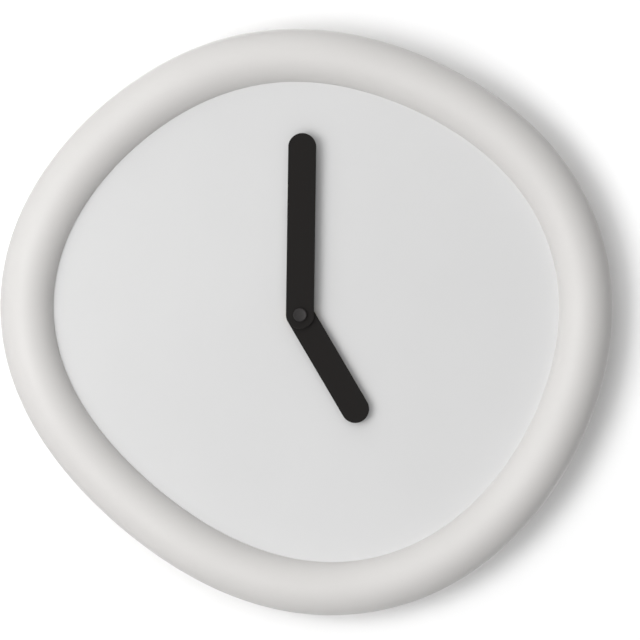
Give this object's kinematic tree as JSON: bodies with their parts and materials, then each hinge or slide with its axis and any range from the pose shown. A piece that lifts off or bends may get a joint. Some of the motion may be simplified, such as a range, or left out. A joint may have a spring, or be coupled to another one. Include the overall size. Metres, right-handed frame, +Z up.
{
  "type": "wall clock",
  "caption": "Wall clock with a softly lobed thick round rim, bare dial, two flat hands and a battery movement with its wheel train behind the dial.",
  "frame": {"origin": "the point of the wall plane behind the axis of the hands, where the wall carries the clock", "axes": "+X to the right and +Z up as the clock is read; the dial faces -Y and +Y points into the wall"},
  "size_m": [0.3512, 0.0362, 0.3368],
  "materials": {
    "rim": "warm off-white, satin",
    "dial": "pale grey-white, matt",
    "hand": "black, matt",
    "cap": "dark grey, satin",
    "casing": "black, fine texture",
    "wheel": "natural, smooth",
    "steel": "zinc plated",
    "brass": "turned",
    "copper": "enamelled wire",
    "rubber": "black, matt",
    "board": "green lacquer",
    "battery": "bare sleeve, satin"
  },
  "bodies": {
    "frame": {"rim_front": "rim", "rim_back": "rim", "dial": "dial", "rim_screw_1": "steel", "rim_screw_2": "steel", "rim_screw_3": "steel", "rim_screw_4": "steel", "rim_screw_5": "steel", "rim_screw_6": "steel", "hanger_plate": "steel", "hanger_screw_1": "steel", "hanger_screw_2": "steel", "gasket": "rubber", "washer": "brass", "hex_nut": "brass", "threaded_bush": "brass", "movement_case": "casing", "movement_cover": "casing", "battery": "battery", "contact_positive": "steel", "contact_negative": "steel", "circuit_board": "board", "chip_cover": "rubber", "quartz_crystal": "steel", "stator": "steel", "coil_core": "steel", "coil_bobbin": "wheel", "coil_winding": "copper"},
    "minute_body": {"minute_hand": "hand", "minute_collet": "brass", "centre_cap": "cap", "minute_pipe": "wheel", "centre_wheel": "wheel"},
    "hour_body": {"hour_hand": "hand", "hour_collet": "brass", "hour_wheel": "wheel"},
    "minute_wheel_body": {"minute_wheel": "wheel"},
    "third_body": {"third_wheel": "wheel"},
    "second_body": {"second_wheel": "wheel"},
    "intermediate_body": {"intermediate_wheel": "wheel"},
    "rotor_body": {"rotor": "wheel"},
    "knob_body": {"set_knob": "wheel"}
  },
  "joints": [
    {"name": "minute_hand_turn", "type": "hinge", "parent": "frame", "child": "minute_body", "pos_m": [0, -0.02, 0], "axis": [0, 1, 0], "continuous": true},
    {"name": "hour_hand_turn", "type": "hinge", "parent": "frame", "child": "hour_body", "pos_m": [0, -0.02, 0], "axis": [0, 1, 0], "continuous": true},
    {"name": "minute_wheel_turn", "type": "hinge", "parent": "frame", "child": "minute_wheel_body", "pos_m": [0.00846, -0.012, -0.00308], "axis": [0, 1, 0], "continuous": true},
    {"name": "third_wheel_turn", "type": "hinge", "parent": "frame", "child": "third_body", "pos_m": [-0.00779, -0.01, 0.0045], "axis": [0, 1, 0], "continuous": true},
    {"name": "second_wheel_turn", "type": "hinge", "parent": "frame", "child": "second_body", "pos_m": [0, -0.01, 0], "axis": [0, 1, 0], "continuous": true},
    {"name": "intermediate_wheel_turn", "type": "hinge", "parent": "frame", "child": "intermediate_body", "pos_m": [0.0045, -0.01, 0.00779], "axis": [0, 1, 0], "continuous": true},
    {"name": "rotor_turn", "type": "hinge", "parent": "frame", "child": "rotor_body", "pos_m": [0.01127, -0.01, 0.01026], "axis": [0, 1, 0], "continuous": true},
    {"name": "set_knob_turn", "type": "hinge", "parent": "frame", "child": "knob_body", "pos_m": [0.01691, -0.01, -0.00616], "axis": [0, 1, 0], "continuous": true}
  ],
  "couplings": [
    {"joint": "hour_hand_turn", "follows": "minute_hand_turn", "ratio": 0.083333},
    {"joint": "minute_wheel_turn", "follows": "minute_hand_turn", "ratio": -0.33333},
    {"joint": "third_wheel_turn", "follows": "minute_hand_turn", "ratio": -8},
    {"joint": "second_wheel_turn", "follows": "minute_hand_turn", "ratio": 60},
    {"joint": "intermediate_wheel_turn", "follows": "minute_hand_turn", "ratio": -360},
    {"joint": "rotor_turn", "follows": "minute_hand_turn", "ratio": 1800},
    {"joint": "set_knob_turn", "follows": "minute_hand_turn", "ratio": 1}
  ]
}
